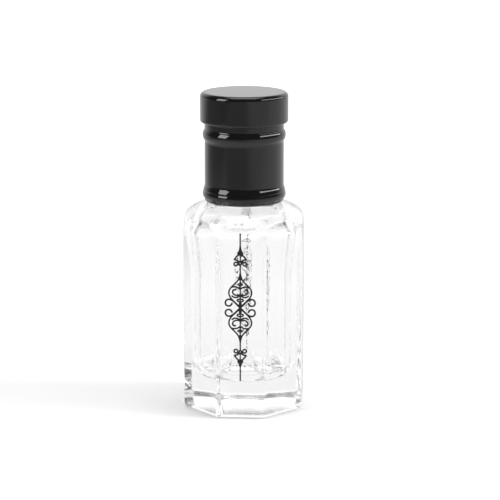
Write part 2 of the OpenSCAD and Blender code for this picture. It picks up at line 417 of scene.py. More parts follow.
@dataclass(frozen=True)
class ClearGlass:
    """Clear soda-lime glass.

    It has a faint green cast in its depth, painted shade where its skin is seen nearly edge on (its base
    colour darkens towards grazing), and slight waves in the cavity's wall, which lies within the waves' reach
    of the axis.
    """

    name: str = "flint_glass"
    ior: float = 1.517
    tint: tuple[float, float, float] = (0.97, 1.0, 0.975)
    density: float = 6.0
    wave_round: float = 1500.0
    wave_upright: float = 1000.0
    wave_reach: float = 10.2 * MM
    wave_depth: float = 0.025 * MM
    painted_edge_shade: tuple[float, float, float] = (0.05, 0.052, 0.045)
    painted_edge_shade_start: float = 0.6

    def material(self) -> bpy.types.Material:
        """Builds the material, or finds the one that exists.

        Returns:
            The material.
        """
        if self.name in bpy.data.materials:
            return bpy.data.materials[self.name]
        made, wiring = new_material(self.name)
        # Painted shade: the base colour darkens where the skin is seen nearly edge on, to give dark outlines.
        slant = wiring.node("ShaderNodeLayerWeight").outputs["Facing"]
        edge = wiring.ramp(slant, self.painted_edge_shade_start, 1.0, 0.0, 1.0)
        waves = wiring.group(ripple_group(), {
            "Vector": wiring.node("ShaderNodeTexCoord").outputs["Object"],
            "Round Scale": self.wave_round,
            "Upright Scale": self.wave_upright,
            "Reach": self.wave_reach})
        bump = wiring.node("ShaderNodeBump", {"Distance": self.wave_depth, "Height": waves.outputs["Height"]})
        wiring.fill(wiring.nodes["Principled BSDF"], {
            "Base Color": wiring.tint(edge, WHITE, self.painted_edge_shade),
            "Roughness": 0.0,
            "IOR": self.ior,
            "Transmission Weight": 1.0,
            "Normal": bump.outputs["Normal"]})
        depth = wiring.node("ShaderNodeVolumeAbsorption", {
            "Color": (*self.tint, 1.0), "Density": self.density})
        wiring.fill(wiring.nodes["Material Output"], {"Volume": depth.outputs["Volume"]})
        return made


class Finish(Enum):
    """The finishes of the bottle's pieces."""

    GLASS = ClearGlass()
    LACQUER = Gloss("piano_black_lacquer", (0.006, 0.006, 0.0065), rough=(0.03, 0.07), bump=0.03)
    LINING = Gloss("moulded_black", (0.018, 0.018, 0.019), rough=(0.35, 0.5), bump=0.15)
    INK = Gloss("fired_black_ink", (0.004, 0.004, 0.004), rough=(0.45, 0.6), bump=0.2, fine_scale=4000.0)
    HOUSING = Gloss("moulded_natural", (0.82, 0.83, 0.82), rough=(0.3, 0.42), bump=0.12, subsurface=0.3)
    STEEL = Gloss("bearing_steel", (0.62, 0.62, 0.63), rough=(0.05, 0.1), bump=0.02, metallic=1.0)
    FOAM = Gloss("cell_foam", (0.78, 0.78, 0.76), rough=(0.8, 0.95), bump=0.8, fine_scale=2500.0)


def paint(piece: bpy.types.Object, finish: Finish) -> None:
    """Gives a piece the finish's material in place of any other."""
    piece.data.materials.clear()
    piece.data.materials.append(finish.value.material())


def dress(piece: bpy.types.Object, finish: Finish, slot: str, body: str) -> bpy.types.Object:
    """Gives a new piece its material and the body it rides on, and logs its material slot.

    Args:
        piece: the new object.
        finish: which finish it has.
        slot: the record's material slot.
        body: the body that carries it.

    Returns:
        The same object.
    """
    paint(piece, finish)
    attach(piece, body)
    LOG.info("%s: %d faces, %s, rides on %s", piece.name, len(piece.data.polygons), slot, body)
    return piece


# ---------------------------------------------------------------- glass


@dataclass
class GlassBottle:
    """The glass: an octagonal body with a round shoulder, a heavy base, a hollow and a threaded neck.

    Sizes are in mm and angles in degrees.
    """

    # The body's flats, rounded edges and heel, and where the heel's arc starts.
    flat_r: float = 12.0
    edge_r: float = 1.0
    heel_r: float = 1.0
    heel_start: float = -78.0
    # The rim that it stands on, that rim's inner bevel, and the depth of the hollow in the base.
    stand_rim: float = 1.4
    rim_inner: float = 0.12
    rim_outer: float = 0.05
    push_up: float = 0.7
    # The shoulder: its height at the neck, slope, lean and arc, the arches on the facets, and its root.
    root_z: float = 42.2
    shoulder_fall: float = 14.0
    shoulder_lean: float = 15.0
    shoulder_r: float = 3.8
    arch_h: float = 6.3
    arch_blend: float = 0.5
    root_gap: float = 0.25
    # The neck and the bead at its root.
    neck_r: float = 5.7
    neck_top: float = 54.6
    neck_edge: float = 0.4
    neck_foot: float = 0.1
    bead_r: float = 6.4
    bead_h: float = 1.0
    bead_edge: float = 0.25
    # The thread: depth, half its foot, its flanks, its start above the root, and the laps that its ends take.
    thread_depth: float = 0.6
    thread_half: float = 0.75
    thread_flank: float = 0.4
    thread_pitch: float = 2.5
    thread_turns: float = 1.5
    thread_rise: float = 3.4
    thread_fade: tuple[float, float] = (-0.01, 0.16)
    # The bore, its rounded ends, and how far the lower one dips.
    bore_r: float = 4.2
    bore_edge: float = 0.3
    bore_dip: float = 0.1
    # The cavity: its floor's height, its walls, where the wall starts to widen and how far past the roof's
    # arc it stops, the floor's and the roof's arcs, and the roof's fall as a share of the shoulder's arc.
    base_t: float = 6.4
    wall_low: float = 4.0
    wall_high: float = 2.9
    flare_low: float = 26.0
    flare_over: float = 1.0
    floor_r: float = 3.2
    roof_r: float = 3.6
    roof_z: float = 40.2
    roof_share: float = 0.25
    # The cavity's section: round near the bore, and eight-sided from this share of the roof's arc outwards.
    round_reach: float = 1.0
    facet_share: float = 0.8
    corner_spread: float = 1.035
    corner_blend: float = 0.014
    # The facets and the steps of the mesh round them.
    facets: int = 8
    flat_steps: int = 16
    edge_steps: int = 8
    facet_angle: float = field(init=False)

    def __post_init__(self) -> None:
        """Works out the angle between two facets."""
        self.facet_angle = FULL_TURN / self.facets

    def angles(self) -> np.ndarray:
        """Angles round the body: even over a facet's flat, and closer together round each rounded edge.

        Returns:
            The angles in radians, one full turn of them.
        """
        half = self.facet_angle / 2.0
        turn = math.atan((self.flat_r - self.edge_r) * math.tan(half) / self.flat_r)
        flat = np.linspace(-turn, turn, self.flat_steps, endpoint=False)
        edge = np.linspace(turn, 2.0 * half - turn, self.edge_steps, endpoint=False)
        one = np.concatenate([flat, edge])
        return np.concatenate([one + k * self.facet_angle for k in range(self.facets)])

    def octagon(self, angle: np.ndarray, flat_r: float) -> np.ndarray:
        """Distance to a rounded octagon: flat_r over cos(a) on a flat, and the edge's circle near a corner.

        Args:
            angle: angles from +X, which is the middle of a facet.
            flat_r: distance from the axis to each flat.

        Returns:
            The distance at each angle.
        """
        half = self.facet_angle / 2.0
        a = np.abs((angle + half) % self.facet_angle - half)
        turn = math.atan((flat_r - self.edge_r) * math.tan(half) / flat_r)
        centre = (flat_r - self.edge_r) / math.cos(half)
        b = half - a
        inside = np.maximum(self.edge_r ** 2 - (centre * np.sin(b)) ** 2, 0.0)
        return np.where(a <= turn, flat_r / np.cos(a), centre * np.cos(b) + np.sqrt(inside))

    def shoulder_line(self) -> np.ndarray:
        """The shoulder's half outline, from the arches' feet up to the neck: a lean, an arc and a slope.

        The lean and the slope are straight lines, and the arc touches both.

        Returns:
            Rows of distance from the axis and height.
        """
        fall, lean = math.radians(self.shoulder_fall), math.radians(self.shoulder_lean)
        foot = np.array([self.flat_r / math.cos(self.facet_angle / 2.0), self.root_z - self.arch_h])
        meet_z = (self.root_z - math.tan(fall) * (foot[0] + math.tan(lean) * foot[1] - self.neck_r)) / (
            1.0 - math.tan(fall) * math.tan(lean))
        meet = np.array([foot[0] - math.tan(lean) * (meet_z - foot[1]), meet_z])
        run = self.shoulder_r * math.tan((math.pi / 2.0 - fall - lean) / 2.0)
        upper = meet + run * np.array([-math.cos(fall), math.sin(fall)])
        lower = meet + run * np.array([math.sin(lean), -math.cos(lean)])
        centre = upper - self.shoulder_r * np.array([math.sin(fall), math.cos(fall)])
        root_r = self.bead_r + self.root_gap
        root = np.array([root_r, self.root_z - math.tan(fall) * (root_r - self.neck_r)])
        return np.vstack([
            foot[None],
            straight(foot, lower, count=16),
            arc(centre, self.shoulder_r, self.shoulder_lean, 90.0 - self.shoulder_fall, count=26),
            straight(upper, root, count=6),
            root[None]])

    def outside(self, angle: np.ndarray) -> tuple[np.ndarray, np.ndarray]:
        """Rows of the outer skin, from the middle of the base up to the neck's rim.

        Args:
            angle: angles round the body.

        Returns:
            Distances from the axis (rows, columns) and heights (rows,).
        """
        rows: list[np.ndarray] = []
        heights: list[float] = []

        def add(r: np.ndarray | float, z: float) -> None:
            """Adds a row at the height z."""
            rows.append(np.broadcast_to(np.asarray(r, dtype=float), angle.shape))
            heights.append(z)

        heel = self.flat_r - self.heel_r
        hollow = heel - self.stand_rim
        curve = (hollow ** 2 + self.push_up ** 2) / (2.0 * self.push_up)
        for r in np.linspace(0.0, hollow - self.rim_inner, num=14):
            add(r, self.push_up - curve + math.sqrt(curve ** 2 - r ** 2))
        for part in (0.0, 0.33, 0.66, 1.0):
            inner = np.full(angle.shape, hollow + self.rim_outer)
            add(inner * (1.0 - part) + part * self.octagon(angle, heel), 0.0)
        for a in np.radians(np.linspace(self.heel_start, 0.0, num=8)):
            flat = heel + self.heel_r * math.cos(a)
            add(self.octagon(angle, flat), self.heel_r + self.heel_r * math.sin(a))
        body = self.octagon(angle, self.flat_r)
        line = self.shoulder_line()
        for z in np.linspace(self.heel_r, line[0, 1], num=30)[1:-1]:
            add(body, z)
        for r, z in line:
            add(smooth_min(np.full(angle.shape, r), body, self.arch_blend), z)
        low = self.root_z + self.bead_h
        bead_centre = (self.bead_r - self.bead_edge, low - self.bead_edge)
        for r, z in arc(bead_centre, self.bead_edge, start=0.0, end=90.0, count=5):
            add(r, z)
        add(self.neck_r + self.neck_foot, low)
        add(self.neck_r, low + self.neck_foot)
        high = self.neck_top - self.neck_edge
        for z in np.linspace(low + 2.0 * self.neck_foot, high, num=110):
            add(self.neck_r + self.thread(angle, z), z)
        for r, z in arc((self.neck_r - self.neck_edge, high), self.neck_edge, start=15.0, end=90.0, count=6):
            add(r, z)
        return np.array(rows), np.array(heights)

    def thread(self, angle: np.ndarray, z: float) -> np.ndarray:
        """How far the thread stands out at a height: a ridge with sloping flanks on a rising helix.

        Args:
            angle: angles round the neck.
            z: the height.

        Returns:
            The ridge's height above the neck at each angle.
        """
        start = self.root_z + self.thread_rise
        out = np.zeros_like(angle)
        for lap in range(math.ceil(self.thread_turns)):
            travel = (angle % FULL_TURN) / FULL_TURN + lap
            off = np.abs(z - start - travel * self.thread_pitch)
            ridge = smooth_step(self.thread_half - off, 0.0, self.thread_flank)
            ends = smooth_step(np.minimum(travel, self.thread_turns - travel), *self.thread_fade)
            out = np.maximum(out, self.thread_depth * ridge * ends)
        return out

    def inside(self, angle: np.ndarray) -> tuple[np.ndarray, np.ndarray]:
        """Rows of the inner skin, from the neck's rim down the bore to the middle of the cavity's floor.

        Behind a facet the wall is flat, r over cos(a), and behind an edge it is round, r times corner_spread.
        The lesser of the two is taken, with the crease between them rounded off.

        Args:
            angle: angles round the body.

        Returns:
            Distances from the axis (rows, columns) and heights (rows,).
        """
        low_r, high_r = self.flat_r - self.wall_low, self.flat_r - self.wall_high
        fall = math.radians(self.shoulder_fall)
        roof_fall = math.tan(fall) * (high_r - self.roof_r - self.neck_r) + self.shoulder_r * self.roof_share
        roof = (high_r - self.roof_r, self.roof_z - self.roof_r - roof_fall)
        floor = (low_r - self.floor_r, self.base_t + self.floor_r)
        edge = self.bore_edge
        bore = np.vstack([
            arc((self.bore_r + edge, self.neck_top - edge), edge, start=90.0, end=180.0, count=5),
            straight((self.bore_r, self.neck_top - edge), (self.bore_r, self.roof_z + edge), count=16),
            arc((self.bore_r + edge, self.roof_z + edge - self.bore_dip), edge,
                start=180.0, end=256.0, count=6)])
        roof_arc = arc(roof, self.roof_r, start=90.0 - self.shoulder_fall, end=0.0, count=24)
        wall_z = np.linspace(roof[1], floor[1], num=44)[1:-1]
        wall_r = low_r + (high_r - low_r) * smooth_step(wall_z, self.flare_low, roof[1] + self.flare_over)
        floor_arc = arc(floor, self.floor_r, start=0.0, end=-90.0, count=16)
        bottom = straight((floor[0], self.base_t), (0.0, self.base_t), count=12)
        line = np.vstack([bore, straight(bore[-1], roof_arc[0], count=6), roof_arc,
                          np.column_stack([wall_r, wall_z]), floor_arc, bottom, [[0.0, self.base_t]]])
        full_r = roof[0] + self.roof_r * self.facet_share
        shape = smooth_step(line[:, 0], self.bore_r + self.round_reach, full_r)
        shape = np.where(np.arange(len(line)) < len(bore), 0.0, shape)
        off = (angle + self.facet_angle / 2.0) % self.facet_angle - self.facet_angle / 2.0
        wall = smooth_min(1.0 / np.cos(off), np.full(angle.shape, self.corner_spread), self.corner_blend)
        spread = 1.0 + shape[:, None] * (wall[None, :] - 1.0)
        return line[:, :1] * spread, line[:, 1]

    def build(self) -> bpy.types.Object:
        """Makes the glass as one closed skin, outside and inside.

        Returns:
            The object.
        """
        angle = self.angles()
        outer_r, outer_z = self.outside(angle)
        inner_r, inner_z = self.inside(angle)
        radius, height = np.vstack([outer_r, inner_r]), np.concatenate([outer_z, inner_z])
        glass = turned_mesh("bottle_glass", radius, height, angle)
        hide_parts("glass_bottle")
        return dress(glass, Finish.GLASS, "clear_glass", "bottle")


# ---------------------------------------------------------------- ornament


@dataclass(frozen=True)
class Stroke:
    """A pen stroke: points in mm from the ornament's middle, and the half width at each of them."""

    points: np.ndarray
    half_width: np.ndarray


def even_stroke(points: np.ndarray, start: float, end: float | None = None) -> Stroke:
    """A stroke whose half width runs evenly from start to end."""
    return Stroke(points, np.linspace(start, start if end is None else end, len(points)))


def bezier(p0: Point, p1: Point, p2: Point, p3: Point, count: int = 24) -> np.ndarray:
    """Points of a cubic Bezier curve: the sum of the four control points times the Bernstein polynomials.

    Args:
        p0: where the curve starts.
        p1: the point that it starts towards.
        p2: the point that it comes from at its end.
        p3: where it ends.
        count: how many points.

    Returns:
        An array with a row for each point.
    """
    t = np.linspace(0.0, 1.0, count)[:, None]
    return ((1 - t) ** 3 * np.array(p0) + 3 * (1 - t) ** 2 * t * np.array(p1)
            + 3 * (1 - t) * t ** 2 * np.array(p2) + t ** 3 * np.array(p3))


def ring(centre: Point, half_u: float, half_v: float, count: int = 24) -> np.ndarray:
    """Points of an ellipse round a centre."""
    a = np.linspace(0.0, FULL_TURN, count)
    return np.column_stack([centre[0] + half_u * np.cos(a), centre[1] + half_v * np.sin(a)])


def spiral(centre: Point, r0: float, r1: float, a0: float, a1: float, count: int = 30) -> np.ndarray:
    """Points of a spiral: the radius and the angle both run evenly.

    Args:
        centre: the spiral's centre.
        r0: first radius.
        r1: last radius.
        a0: first angle, in degrees.
        a1: last angle, in degrees.
        count: how many points.

    Returns:
        An array with a row for each point.
    """
    a = np.radians(np.linspace(a0, a1, count))
    r = np.linspace(r0, r1, count)
    return np.column_stack([centre[0] + r * np.cos(a), centre[1] + r * np.sin(a)])


@dataclass
class Ornament:
    """A traditional scroll ornament of fired black ink, the same to the left and right and up and down.

    Sizes are in mm.
    """

    # The height of its middle, the facet that it lies on, and the ink's underside and top above the glass.
    middle_z: float = 22.9
    flat_r: float = 12.0
    ink_low: float = 0.004
    ink_high: float = 0.024
    # The usual half width of a stroke, and what multiplies every width.
    stroke: float = 0.13
    weight: float = 1.0
    # The grid of cells: a cell's side and half the grid's width and height.
    cell: float = 0.055
    half_u: float = 3.3
    half_v: float = 15.4
    # The distance field: how far a stroke counts, the value beyond, fillets, and the least distance kept.
    reach: float = 1.2
    far: float = 9.0
    fillet: float = 0.08
    least: float = 1e-6

    def quarter(self) -> list[Stroke]:
        """The strokes of the upper right quarter and of its two axes, with points to the right and up.

        Returns:
            The strokes, from the top down.
        """
        w = self.stroke
        stem = np.array([[0.0, 14.9], [0.0, 12.4], [0.0, 11.5], [0.0, 11.0], [0.0, 10.4], [0.0, 9.3]])
        stem_w = np.array([0.14, 0.14, 0.32, 0.17, 0.12, 0.12])
        neck = np.array([[0.0, 8.75], [0.0, 7.1], [0.0, 6.2], [0.0, 5.6]])
        neck_w = np.array([0.14, 0.14, 0.32, 0.18])
        axis = np.array([[0.0, 5.9], [0.0, 2.0], [0.0, 0.0]])
        return [
            Stroke(stem, stem_w),
            even_stroke(ring((0.3, 11.0), 0.17, 0.24), 0.11),
            even_stroke(bezier((0.0, 10.75), (0.55, 10.7), (0.8, 10.3), (1.17, 9.75)), w),
            even_stroke(bezier((1.17, 9.72), (0.75, 9.75), (0.45, 9.55), (0.0, 9.2)), w),
            even_stroke(bezier((0.0, 8.6), (0.25, 9.0), (0.6, 9.3), (0.95, 9.2)), w),
            even_stroke(spiral((0.85, 8.82), 0.4, 0.3, 75.0, -180.0), w, w * 0.85),
            Stroke(neck, neck_w),
            Stroke(axis, np.array([w, w, w])),
            even_stroke(np.vstack([bezier((0.18, 6.2), (0.5, 4.9), (2.24, 4.3), (2.24, 3.1)),
                                   bezier((2.24, 3.1), (2.24, 1.8), (0.9, 1.2), (0.0, 0.0))[1:]]), w * 1.05),
            even_stroke(np.array([[0.0, 5.05], [0.5, 4.72], [0.0, 4.4]]), w),
            even_stroke(bezier((1.75, 4.15), (1.3, 4.35), (0.45, 4.3), (0.0, 3.75)), w),
            even_stroke(np.vstack([bezier((0.0, 2.75), (0.35, 2.35), (1.45, 2.5), (1.5, 3.2)),
                                   bezier((1.5, 3.2), (1.5, 3.6), (1.2, 3.75), (0.95, 3.62))[1:]]), w),
            even_stroke(bezier((0.0, 2.55), (0.5, 2.0), (1.2, 1.95), (1.62, 2.42)), w),
            even_stroke(ring((0.0, 1.52), 0.6, 0.27), w),
            even_stroke(np.vstack([bezier((0.35, 0.3), (1.1, 1.2), (1.7, 1.72), (2.25, 1.72)),
                                   bezier((2.25, 1.72), (3.1, 1.72), (3.2, 0.36), (2.3, 0.36))[1:],
                                   bezier((2.3, 0.36), (1.9, 0.36), (1.7, 0.6), (1.62, 0.95))[1:]]),
                        w * 1.15, w),
            even_stroke(np.array([[0.0, 0.9], [0.0, 0.0]]), 0.3),
        ]

    def ink_distance(self, u: np.ndarray, v: np.ndarray) -> np.ndarray:
        """Distance to the ink's edge at each point of the quarter: the least over all strokes' short pieces.

        Each piece of a stroke is a cone with round ends: the distance to its middle line less its half width
        times the print's weight. A piece counts only within its reach, and where two meet, a small fillet
        rounds the corner between them.

        Args:
            u: distances to the right of the middle.
            v: distances above the middle.

        Returns:
            Distances in mm, negative in the ink.
        """
        best = np.full(u.shape, self.far)
        for one in self.quarter():
            for a, b, wa, wb in zip(one.points[:-1], one.points[1:], one.half_width[:-1], one.half_width[1:]):
                near = np.abs(u - (a[0] + b[0]) / 2) < self.reach + abs(a[0] - b[0]) / 2
                near &= np.abs(v - (a[1] + b[1]) / 2) < self.reach + abs(a[1] - b[1]) / 2
                du, dv = u[near] - a[0], v[near] - a[1]
                along = b - a
                t = np.clip((du * along[0] + dv * along[1]) / max(along @ along, TINY), 0.0, 1.0)
                away = np.hypot(du - t * along[0], dv - t * along[1]) - self.weight * (wa + t * (wb - wa))
                best[near] = smooth_min(best[near], away, self.fillet)
        return best

    def outline(self) -> tuple[np.ndarray, np.ndarray, np.ndarray]:
        """The ink's flat shape as triangles, cut from a grid of cells over the distance field.

        Each cell's corners in the ink, and the points where the edge crosses its sides, are joined in a fan.
        A crossing parts its side in the ratio of the distances at the side's two ends.

        Returns:
            Points (n, 2) in mm, triangles (m, 3) and border pairs (k, 2) in the triangles' direction.
        """
        nu, nv = round(self.half_u / self.cell), round(self.half_v / self.cell)
        u = np.arange(-nu, nu + 1) * self.cell
        v = np.arange(-nv, nv + 1) * self.cell
        gu, gv = np.meshgrid(np.abs(u), np.abs(v), indexing="ij")
        value = self.ink_distance(gu, gv)
        value = np.where(np.abs(value) < self.least, self.least, value)
        corner = np.arange(value.size).reshape(value.shape)
        inside = value < 0.0
        grid = np.stack(np.meshgrid(u, v, indexing="ij"), axis=-1)
        # The crossing on a side that runs along u, then along v, is numbered after the grid's own points.
        t_u = value[:-1] / (value[:-1] - value[1:] + TINY)
        t_v = value[:, :-1] / (value[:, :-1] - value[:, 1:] + TINY)
        cross_u = grid[:-1] + np.stack([t_u * self.cell, np.zeros_like(t_u)], axis=-1)
        cross_v = grid[:, :-1] + np.stack([np.zeros_like(t_v), t_v * self.cell], axis=-1)
        id_u = value.size + np.arange(t_u.size).reshape(t_u.shape)
        id_v = value.size + t_u.size + np.arange(t_v.size).reshape(t_v.shape)
        every = np.vstack([part.reshape(-1, 2) for part in (grid, cross_u, cross_v)])
        # A cell's four corners in turn, each with the side that leads on from it.
        around = [(corner[:-1, :-1], inside[:-1, :-1], id_u[:, :-1]),
                  (corner[1:, :-1], inside[1:, :-1], id_v[1:]),
                  (corner[1:, 1:], inside[1:, 1:], id_u[:, 1:]),
                  (corner[:-1, 1:], inside[:-1, 1:], id_v[:-1])]
        code = sum(around[k][1].astype(int) << k for k in range(4))
        triangles, border = [], []
        for case in range(1, 16):
            where = code == case
            if not where.any():
                continue
            loop: list[np.ndarray] = []
            crossing: list[bool] = []
            for k in range(4):
                here, after = case >> k & 1, case >> (k + 1) % 4 & 1
                if here:
                    loop.append(around[k][0][where])
                    crossing.append(False)
                if here != after:
                    loop.append(around[k][2][where])
                    crossing.append(True)
            count = len(loop)
            triangles += [np.column_stack([loop[0], loop[k], loop[k + 1]]) for k in range(1, count - 1)]
            border += [np.column_stack([loop[k], loop[(k + 1) % count]]) for k in range(count)
                       if crossing[k] and crossing[(k + 1) % count]]
        triangles, border = np.vstack(triangles), np.vstack(border)
        used, triangles = np.unique(triangles, return_inverse=True)
        triangles = triangles.reshape(-1, 3)
        border = np.searchsorted(used, border)
        return every[used], triangles, border

    def build(self, name: str, front: bool) -> bpy.types.Object:
        """Makes the ink on the front or the back facet as one closed thin solid.

        Args:
            name: name of the object.
            front: True for the facet that faces -Y, False for the one that faces +Y.

        Returns:
            The object.
        """
        flat, triangles, border = self.outline()
        count = len(flat)
        side = -1.0 if front else 1.0

        def layer(out: float) -> np.ndarray:
            """The flat points at a distance out of the facet."""
            return np.column_stack([-side * flat[:, 0], np.full(count, side * (self.flat_r + out)),
                                    flat[:, 1] + self.middle_z])

        points = np.vstack([layer(self.ink_high), layer(self.ink_low)]) * MM
        first, second = border[:, 0], border[:, 1]
        wall = [np.column_stack([first, first + count, second + count]),
                np.column_stack([first, second + count, second])]
        faces = np.vstack([triangles, triangles[:, ::-1] + count, *wall])
        made = mesh_object(name, points, faces.tolist(), smooth=False)
        return dress(made, Finish.INK, "black_ink", "bottle")


# ---------------------------------------------------------------- cap and fitment


@dataclass
class ScrewCap:
    """The turned black shell: a head, a groove, two beads and a plain band. In mm."""

    # The two ends' heights, the plain band, the bore and the wall over it.
    low: float = 42.288
    high: float = 64.1
    band_r: float = 7.95
    bore_r: float = 7.15
    top_t: float = 1.5
    # The head, and the groove under it.
    head_r: float = 8.825
    head_h: float = 6.05
    head_edge: float = 0.9
    head_low_edge: float = 0.45
    groove_h: float = 1.35
    groove_edge: float = 0.12
    # The beads' heights and how far they stand out of the band, and the step behind the lower one.
    bead_high_h: float = 2.25
    bead_high_out: float = 0.38
    bead_low_h: float = 2.0
    bead_low_out: float = 0.41
    step_foot: float = 0.2
    step_h: float = 2.45
    step_out: float = 0.29
    crease: float = 0.02
    # The rim, the rounded edges inside, and the points of a ring.
    rim_h: float = 0.4
    rim_edge: float = 0.2
    bore_edge: float = 0.15
    ceiling_edge: float = 0.3
    columns: int = 256

    def stand_out(self, z: np.ndarray, low: float, h: float, out: float) -> np.ndarray:
        """How far a bead stands out of the band at each height: a circle's arc, h high and out deep.

        Args:
            z: heights.
            low: height of the bead's foot.
            h: its height.
            out: how far it stands out at its middle.

        Returns:
            The distance out of the band, negative past the bead's ends.
        """
        radius = ((h / 2.0) ** 2 + out ** 2) / (2.0 * out)
        return np.sqrt(np.maximum(radius ** 2 - (z - low - h / 2.0) ** 2, 0.0)) - radius + out

    def beads(self) -> tuple[np.ndarray, np.ndarray]:
        """The lower and the upper bead. The lower one is a tight belly in front of a broad step.

        Returns:
            The two beads' rows of distance from the axis and height, going up.
        """
        foot = self.low + self.rim_h
        z = np.linspace(foot, foot + self.step_foot + self.step_h, num=56)
        belly = self.stand_out(z, foot, self.bead_low_h, self.bead_low_out)
        step = self.stand_out(z, foot + self.step_foot, self.step_h, self.step_out)
        low_out = np.maximum(-smooth_min(-belly, -step, self.crease), 0.0)
        z_high = self.high - self.head_h - self.groove_h - np.linspace(self.bead_high_h, 0.0, num=30)
        high_out = self.stand_out(z_high, z_high[0], self.bead_high_h, self.bead_high_out)
        return np.column_stack([self.band_r + low_out, z]), np.column_stack([self.band_r + high_out, z_high])

    def outline(self) -> np.ndarray:
        """The shell's half section, from the middle of its ceiling, down the bore, round the rim and up.

        Returns:
            Rows of distance from the axis and height.
        """
        head_low, ceiling = self.high - self.head_h, self.high - self.top_t
        ceiling_r, bore_r, rim_r = self.ceiling_edge, self.bore_edge, self.rim_edge
        groove_r, low_r, high_r = self.groove_edge, self.head_low_edge, self.head_edge
        low_bead, high_bead = self.beads()
        return np.vstack([
            [[0.0, ceiling], [self.bore_r / 2.0, ceiling]],
            arc((self.bore_r - ceiling_r, ceiling - ceiling_r), ceiling_r, start=90.0, end=0.0, count=5),
            straight((self.bore_r, ceiling - ceiling_r), (self.bore_r, self.low + bore_r), count=20),
            arc((self.bore_r + bore_r, self.low + bore_r), bore_r, start=180.0, end=270.0, count=4),
            arc((self.band_r - rim_r, self.low + rim_r), rim_r, start=-90.0, end=0.0, count=6),
            low_bead,
            straight(low_bead[-1], high_bead[0], count=14),
            high_bead,
            straight(high_bead[-1], (self.band_r, head_low - groove_r), count=4),
            arc((self.band_r + groove_r, head_low - groove_r), groove_r, start=180.0, end=90.0, count=5),
            arc((self.head_r - low_r, head_low + low_r), low_r, start=-90.0, end=0.0, count=10),
            straight((self.head_r, head_low + low_r), (self.head_r, self.high - high_r), count=8),
            arc((self.head_r - high_r, self.high - high_r), high_r, start=0.0, end=90.0, count=18),
            straight((self.head_r - high_r, self.high), (0.0, self.high), count=8),
            [[0.0, self.high]]])

    def build(self) -> bpy.types.Object:
        """Turns the outline round the axis.

        Returns:
            The object.
        """
        shell = turned_line("cap", self.outline(), self.columns)
        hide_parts("cap_shell")
        return dress(shell, Finish.LACQUER, "black_lacquer", "cap")


@dataclass
class RollerBall:
    """The polished ball. In mm."""

    centre_z: float = 56.3
    radius: float = 3.8
    rows: int = 49
    columns: int = 96

    def build(self) -> bpy.types.Object:
        """Makes the ball: a half circle turned round the axis.

        Returns:
            The object.
        """
        line = arc((0.0, self.centre_z), self.radius, start=-90.0, end=90.0, count=self.rows)
        ball = turned_line("ball", line, self.columns)
        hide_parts("roller_ball")
        return dress(ball, Finish.STEEL, "polished_steel", "ball")


def finish_node(node: str, finish: Finish) -> None:
    """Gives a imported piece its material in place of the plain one.

    Args:
        node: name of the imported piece.
        finish: which finish it has.
    """
    paint(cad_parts[node], finish)
    LOG.info("%s: kept as packed, %s", node, finish.name)


# ---------------------------------------------------------------- studio


@dataclass(frozen=True)
class SoftBox:
    """A lamp: where it hangs, its width and height, the point that it faces, in metres, and its watts.

    Where mirrored is False, it shows neither in reflections nor through the glass.
    """

    name: str
    place: tuple[float, float, float]
    size: tuple[float, float]
    power: float
    aim: tuple[float, float, float] = (0.0, 0.0, 0.03)
    mirrored: bool = True

    def hang(self) -> None:
        """Hangs the lamp so that it faces its point."""
        data = bpy.data.lights.new(self.name, "AREA")
        data.shape = "RECTANGLE"
        data.size, data.size_y = self.size
        data.energy = self.power
        made = bpy.data.objects.new(self.name, data)
        bpy.context.scene.collection.objects.link(made)
        made.location = self.place
        made.visible_glossy = self.mirrored
        made.visible_transmission = self.mirrored
        made.rotation_mode = "QUATERNION"
        made.rotation_quaternion = (Vector(self.aim) - Vector(self.place)).to_track_quat("-Z", "Y")


